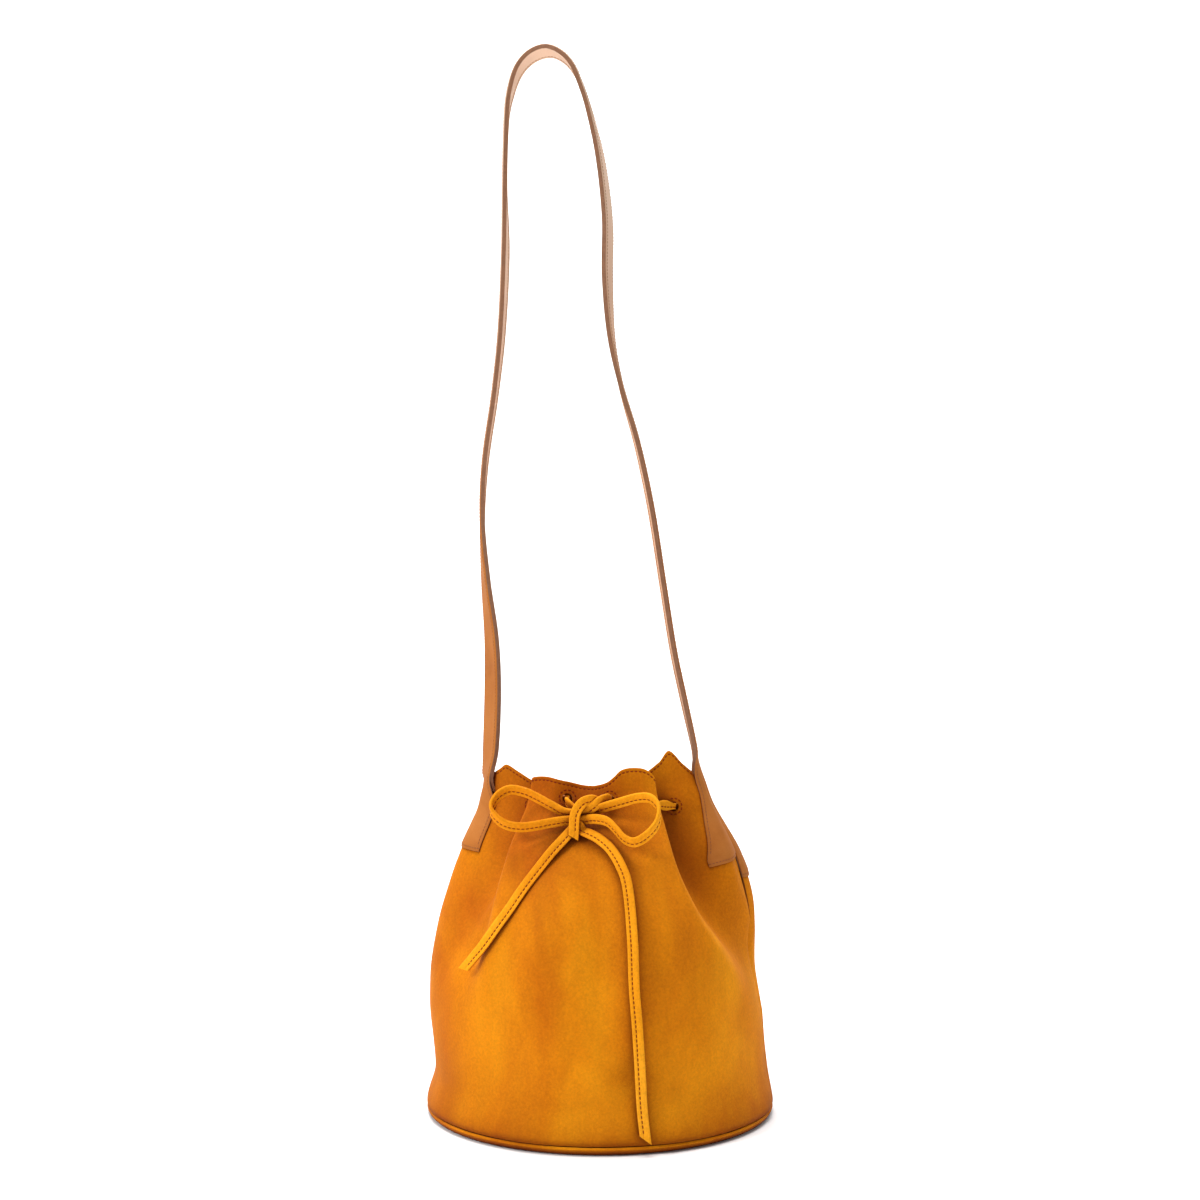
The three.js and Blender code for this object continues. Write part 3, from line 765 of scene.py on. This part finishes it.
def make_woven():
    """The stretch of the drawstring that is threaded through the eyelets."""
    points = []
    for eyelets in (LEFT_EYELETS, RIGHT_EYELETS):
        half = []
        for i, (angle, height) in enumerate(eyelets):
            stops = [-7, -(LEATHER + FACING) / 2, -1.2 if i in (0, len(eyelets) - 1) else 1.6]
            through = [offset_point(angle, height, offset) for offset in stops]
            half += through if i % 2 else through[::-1]
        points += half if eyelets is LEFT_EYELETS else half[::-1]
    points = np.array(points)
    hints = np.tile([0, 0, 1.0], (len(points), 1))
    holes = np.array([surface(angle, height) for angle, height in ALL_EYELETS])
    line, _, walked = resample(points, STATION)
    near = np.min(np.linalg.norm(line[:, None] - holes[None], axis=2), axis=1)
    width = 0.62 + 0.38 * np.clip((near - 3.5) / 6, 0, 1)

    def taper(distance):
        return np.interp(distance, walked, width)

    vertices, faces, runs, _, _ = strip_mesh(points, hints, 0, taper)
    piece = join_stitched("drawstring_through_eyelets", vertices, faces, runs, [NUBUCK_STRING, RUST_THREAD])
    dress(piece, "bag", "nubuck_string", "drawstring_woven")


make_woven()


# ---------------------------------------------------------------- body
def seam_angle(side, height):
    """Half the opening of a side seam: the right one has a slit under its tab."""
    radius = radius_at(np.full_like(height, 90.0 * side), height)
    if side < 0:
        return np.degrees(SEAM_HALF_GAP / radius)
    open_part = np.clip((height - SLIT_BOTTOM) / (SLIT_TOP - SLIT_BOTTOM), 0, 1) ** 0.6
    open_part = open_part / (1 + np.exp((height - SLIT_TOP - 4) / 1.5))
    half = SEAM_HALF_GAP + (SLIT_HALF_GAP - SEAM_HALF_GAP) * open_part
    return np.degrees(half / radius)


def mouth_layer(name, middle, count, shares, outer, thickness, top_drop):
    """One leather layer between the side seams, with its rows at shares of its height."""
    columns = columns_between(middle - 90, middle + 90, count)[:, None]
    bottom = BASE_CORNER + 0.5
    top = rim_height(columns) - top_drop
    heights = bottom + (top - bottom) * shares[None, :]
    angles = np.broadcast_to(columns, heights.shape).copy()
    first_side = -1 if middle == 0 else 1
    angles[0] += seam_angle(first_side, heights[0])
    angles[-1] -= seam_angle(-first_side, heights[-1])
    near_top = np.clip(1 - (top - heights) / 0.9, 0, 1)
    dip = 0.45 * near_top**2
    stitch = 0.22 * np.exp(-(((top - heights - 2.8) / 0.7) ** 2))
    out = offset_point(angles, heights, outer - dip - stitch)
    inn = offset_point(angles, heights, outer - thickness + 0.3 * near_top**2)
    piece = grid_shell(name, out, inn, [NUBUCK, NUBUCK_EDGE])
    own = [e for e in ALL_EYELETS if abs(wrap(e[0] - middle)) < 90]
    cut_holes(piece, own, EYELET_RADIUS)
    piece.data.shade_smooth()
    piece.data.set_sharp_from_angle(angle=SHARP)
    return piece


def panel_rows(spacing, length=256):
    low = np.arange(0, 6, 0.8)
    high = length - np.arange(0, 6.5, 0.55)[::-1]
    between = np.linspace(low[-1], high[0], int((high[0] - low[-1]) / spacing) + 1)[1:-1]
    return np.concatenate([low, between, high]) / length


def make_body():
    count = 230
    spacing = 2.4
    rows = panel_rows(spacing)
    facing_rows = rows[rows > 0.85]
    for name, middle in (("front", 0), ("back", 180)):
        panel = mouth_layer(f"{name}_panel_leather", middle, count, rows, 0, LEATHER, 0)
        dress(panel, "bag", "nubuck", f"{name}_panel")
        facing = mouth_layer(f"mouth_facing_{name}", middle, count, facing_rows,
                             -(LEATHER + 0.05), FACING, 0.4)
        dress(facing, "bag", "nubuck", f"rim_facing_{name}")


make_body()


def make_rim_stitching():
    runs = []
    for middle in (0, 180):
        angles = columns_between(middle - 87, middle + 87, 700)
        heights = rim_height(angles) - 2.8
        for offset, sign in ((-0.15, 1), (-(LEATHER + FACING), -1)):
            normals = outward(angles, heights)
            runs.append((surface(angles, heights) + normals * offset, normals * sign))
    for angle, height in ALL_EYELETS:
        centre = surface(angle, height)
        normal = outward(angle, height)
        first = unit(np.cross(normal, [0, 0, 1.0]))
        second = np.cross(normal, first)
        turn = np.linspace(0, 2 * math.pi, 61)[:, None]
        ring = centre + 6.3 * (np.cos(turn) * first + np.sin(turn) * second)
        at_angle = np.degrees(np.arctan2(ring[:, 0], -ring[:, 1]))
        for _ in range(4):
            on = surface(at_angle, ring[:, 2])
            normals = outward(at_angle, ring[:, 2])
            miss = np.sum((ring - on) * normals, -1, keepdims=True)
            ring = ring - normals * miss
            at_angle = np.degrees(np.arctan2(ring[:, 0], -ring[:, 1]))
        runs.append((ring + normals * 0.05, normals))
    thread = stitches("mouth_stitching", runs, RUST_THREAD, length=2.1, radius=0.42, pitch=3.3)
    dress(thread, "bag", "thread")


make_rim_stitching()


def make_base():
    """Round base with a rolled edge that meets the body at the base seam."""
    flat = BASE_RADIUS - BASE_CORNER
    inner = BASE_CORNER - LEATHER
    turns = np.radians(np.linspace(0, 90, 13))
    profile = [(r, 0.0) for r in (0.5, 40, 80, 110, 124, flat)]
    for a in turns[1:-2]:
        profile.append((flat + BASE_CORNER * math.sin(a), BASE_CORNER - BASE_CORNER * math.cos(a)))
    profile += [(BASE_RADIUS - 0.5, BASE_CORNER - 1.2), (BASE_RADIUS - 1.1, BASE_CORNER - 0.25)]
    for a in turns[::-1]:
        profile.append((flat + inner * math.sin(a), BASE_CORNER - 0.3 - inner * math.cos(a)))
    profile += [(r, LEATHER) for r in (110, 60, 0.5)]
    profile = np.array(profile)
    around = np.radians(np.arange(0, 360, 1.5))
    rings = np.stack([
        profile[None, :, 0] * np.sin(around)[:, None],
        -profile[None, :, 0] * np.cos(around)[:, None],
        np.broadcast_to(profile[None, :, 1], (len(around), len(profile))),
    ], -1)
    rings = np.transpose(rings, (1, 0, 2))
    vertices, faces = swept(rings)
    piece = new_object("base_leather", vertices, faces, [NUBUCK_BASE])
    dress(piece, "bag", "nubuck", "base_panel")
    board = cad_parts["base_board"]
    board.data.materials.clear()
    board.data.materials.append(BOARD)


make_base()


# ---------------------------------------------------------------- strap and its sewn ends
# Dictionaries are keyed by side: -1 is the left end and 1 the right one.
TAB_TOP = {-1: 236, 1: 250}
TAB_NECK = 245
NECK_HALF = {-1: 14, 1: 9.5}
TAB_BOTTOM_FRONT = 200
TAB_BOTTOM_BACK = 184
TAB_HALF = 34
LINING_HALF = 26
LINING_BOTTOM_FRONT = 200
LINING_BOTTOM_BACK = 190
EDGE_ROUND = 0.85
TAB_HEM = {-1: (5.5, 3.0), 1: (1.0, 6.5)}  # rise and slope of each front hem
TOP_LIGHT_HEIGHTS = [460, 710]  # the strap is painted paler between these heights, as painted light from above
TAB_LIFT = {-1: 2.4, 1: 0.0}  # how far the neck stands off the body
JOIN = {-1: (238, 262), 1: (254, 284)}  # where each end leaves the body
TOP_X = -44.5  # near the strap's highest point; the left half lies before it


def turned_across(turn, tangent):
    across = Matrix.Rotation(math.radians(turn), 3, Vector(tangent)) @ Vector((0, 1, 0))
    return np.array(across)


def strap_rows():
    """Stations of the free strap: centre, tangent, across, from the left rim to the right."""
    low_left = [(-95.5, 237, 14), (-93.5, 250, 20), (-91.0, 266, 26)]
    low_right = [(78, 266, -7), (80.5, 250, -4)]
    path = np.array(low_left + STRAP_PATH + low_right, float)
    points = np.stack([path[:, 0], np.zeros(len(path)), path[:, 1], path[:, 2]], -1)
    line, tangents, _ = resample(points, 4.0)
    across = np.array([turned_across(p[3], t) for p, t in zip(line, tangents)])
    across, normals = squared(across, tangents)
    return line[:, :3], across, normals


def smoothstep(low, high, x):
    t = np.clip((x - low) / (high - low), 0, 1)
    return t * t * (3 - 2 * t)


def tab_point(side, q, height, half_bottom, offset):
    """A point of a sewn end. q runs from -1 at the front to 1 at the back."""
    neck = NECK_HALF[side]
    if side < 0 and q < 0:
        half_bottom = half_bottom + 3
        neck = neck + 4
    half = float(smooth(
        [TAB_BOTTOM_FRONT, 222, TAB_NECK, 262, HINGE_HEIGHT],
        [half_bottom, 0.5 * (half_bottom + neck), neck + 1, neck, STRAP_HALF], height,
    ))
    angle = angle_after(side * 90, height, side * q * half)
    lift = TAB_LIFT[side] * smoothstep(230, 250, height) if offset > 0 else 0
    return offset_point(angle, height, offset + lift)


Q_COLUMNS = np.array(
    [-1, -0.985, -0.94, -0.86, -0.75, -0.62, -0.48, -0.34, -0.2, -0.08, -0.015,
     0.015, 0.08, 0.2, 0.34, 0.48, 0.62, 0.75, 0.86, 0.94, 0.985, 1]
)


def strap_grid(offset_on_body, offset_on_strap, half_bottom, front_bottom, back_bottom, rounding):
    """Grid of points of one strap face, from the left end's bottom to the right end's."""
    centre, across, normals = strap_rows()
    rows = []
    tab_steps = np.linspace(0, 1, 18)[:-1] ** 0.9
    edge = rounding * np.clip((np.abs(Q_COLUMNS) - 0.9) / 0.1, 0, 1) ** 2

    def tab_row(side, share):
        end_round = rounding * np.clip(1 - share / 0.04, 0, 1)
        row = []
        for q, dip in zip(Q_COLUMNS, edge):
            rise, slope = TAB_HEM[side]
            bottom = front_bottom + rise + slope * q if q < 0 else back_bottom
            height = bottom + (TAB_TOP[side] - bottom) * share
            lift = offset_on_body - max(dip, end_round)
            row.append(tab_point(side, q, height, half_bottom, lift))
        return row

    rows += [tab_row(-1, share) for share in tab_steps]
    for p, a, n in zip(centre, across, normals):
        side = -1 if p[0] < TOP_X else 1
        weight = smoothstep(*JOIN[side], p[2])
        row = []
        for q, dip in zip(Q_COLUMNS, edge):
            free = p + a * q * STRAP_HALF + n * (offset_on_strap - dip)
            if weight < 1:
                height = float(np.clip(p[2], 0, HINGE_HEIGHT))
                sewn = tab_point(side, q, height, half_bottom, offset_on_body - dip)
                free = sewn * (1 - weight) + free * weight
            row.append(free)
        rows.append(row)
    rows += [tab_row(1, share) for share in tab_steps[::-1]]
    return np.array(rows)


def make_strap():
    layers = [
        ("strap_with_tabs", (1.95, 0.35), (STRAP_LAYER, 0.02), TAB_HALF, TAB_BOTTOM_FRONT, TAB_BOTTOM_BACK,
         STRAP_TAN, ("strap_outer", "strap_tab_left", "strap_tab_right")),
        ("strap_lining_with_backings", (-3.5, -5.0), (-0.02, -STRAP_LAYER), LINING_HALF,
         LINING_BOTTOM_FRONT, LINING_BOTTOM_BACK,
         LINING_TAN, ("strap_lining", "strap_backing_left", "strap_backing_right")),
    ]
    runs = []
    for name, on_body_offsets, on_strap, half, front, back, material, nodes in layers:
        face_up, face_down = (
            strap_grid(on_body_offsets[k], on_strap[k], half, front, back,
                       EDGE_ROUND if (k == 0) == (material is STRAP_TAN) else 0.0)
            for k in (0, 1)
        )
        piece = grid_shell(name, face_up[:, ::-1], face_down[:, ::-1], [material, EDGE_PAINT])
        heights = np.array([vertex.co.z for vertex in piece.data.vertices]) / MM
        # Painted light: the higher a point, the paler it is painted, as if lit from above.
        painted_top_light = np.interp(heights, TOP_LIGHT_HEIGHTS, [0, 0.8])
        piece.data.attributes.new("painted_top_light", "FLOAT", "POINT").data.foreach_set("value", painted_top_light)
        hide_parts(*nodes)
        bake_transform(piece)
        shown = face_up if material is STRAP_TAN else face_down
        sign = 1 if material is STRAP_TAN else -1
        runs += edge_runs(shown, sign)
    thread = stitches("strap_stitching", runs, TAN_THREAD, length=1.9, radius=0.3, pitch=2.7, sides=4)
    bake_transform(thread)


def edge_runs(grid, sign):
    """Two stitch lines along a strap face, and one across each sewn end's bottom edges."""
    along = np.gradient(grid, axis=0)
    wide = np.gradient(grid, axis=1)
    normals = unit(np.cross(along, wide)) * sign
    inset = 2.4
    runs = []
    for from_front in (True, False):
        line = []
        ups = []
        for row, up in zip(grid, normals):
            widths = np.concatenate([[0], np.cumsum(np.linalg.norm(np.diff(row, axis=0), axis=1))])
            place = inset if from_front else widths[-1] - inset
            line.append([np.interp(place, widths, row[:, k]) for k in range(3)])
            ups.append([np.interp(place, widths, up[:, k]) for k in range(3)])
        line, ups = np.array(line), np.array(ups)
        keep = slice(2, -2)
        runs.append((line[keep] + ups[keep] * 0.05, ups[keep]))
    middle = len(Q_COLUMNS) // 2
    for rows in (grid, grid[::-1]):
        ups = normals if rows is grid else normals[::-1]
        for columns in (slice(0, middle), slice(middle, None)):
            part, up = rows[:, columns], ups[:, columns]
            steps = np.linalg.norm(np.diff(part, axis=0), axis=2)
            walked = np.concatenate([np.zeros((1, part.shape[1])), np.cumsum(steps, axis=0)])
            line = [
                [np.interp(inset, walked[:, c], part[:, c, k]) for k in range(3)]
                for c in range(part.shape[1])
            ]
            runs.append((np.array(line) + up[2] * 0.05, up[2]))
    return runs


make_strap()


# ---------------------------------------------------------------- stage
def make_stage():
    """Pale seamless floor that curves up into a backdrop."""
    profile = [(-4.0, 0.0), (1.6, 0.0)]
    bend = 1.2
    profile += [(1.6 + bend * math.sin(a), bend - bend * math.cos(a)) for a in np.radians(np.arange(6, 91, 6))]
    profile.append((1.6 + bend, 5.0))
    vertices = []
    for x in (-6.0, 6.0):
        vertices += [(x, y, z) for y, z in profile]
    count = len(profile)
    faces = [(k, count + k, count + k + 1, k + 1) for k in range(count - 1)]
    mesh = bpy.data.meshes.new("floor")
    mesh.from_pydata(vertices, [], faces)
    mesh.shade_smooth()
    floor = bpy.data.objects.new("floor", mesh)
    bpy.context.collection.objects.link(floor)
    floor.rotation_euler = (0, 0, AZIMUTH)
    m = Nodes("floor_white", 0.9)
    m.shader.inputs["Base Color"].default_value = (0.93, 0.93, 0.93, 1)
    m.shader.inputs["Specular IOR Level"].default_value = 0.1
    floor.data.materials.append(m.material)


def area_light(name, place, aim, size, power):
    data = bpy.data.lights.new(name, "AREA")
    data.shape = "RECTANGLE"
    data.size, data.size_y = size
    data.energy = power
    light = bpy.data.objects.new(name, data)
    bpy.context.collection.objects.link(light)
    light.location = place
    light.rotation_euler = (Vector(aim) - Vector(place)).to_track_quat("-Z", "Y").to_euler()


def make_lights():
    world = bpy.data.worlds.new("studio")
    world.use_nodes = True
    world.node_tree.nodes["Background"].inputs["Color"].default_value = (1, 1, 1, 1)
    world.node_tree.nodes["Background"].inputs["Strength"].default_value = 0.33
    bpy.context.scene.world = world
    area_light("key", (-1.7, -1.5, 1.5), (0, 0, 0.15), (0.6, 0.6), 34)
    area_light("fill", (1.6, -1.9, 0.9), (0, 0, 0.2), (1.4, 1.4), 2)
    area_light("top", (-0.3, -0.1, 2.6), (0, 0, 0.0), (1.4, 1.4), 56)
    area_light("backdrop", (0, 1.0, 2.6), (0, 2.4, 0.4), (3.0, 1.0), 90)
    bpy.context.scene.view_settings.view_transform = "Standard"


make_stage()
make_lights()
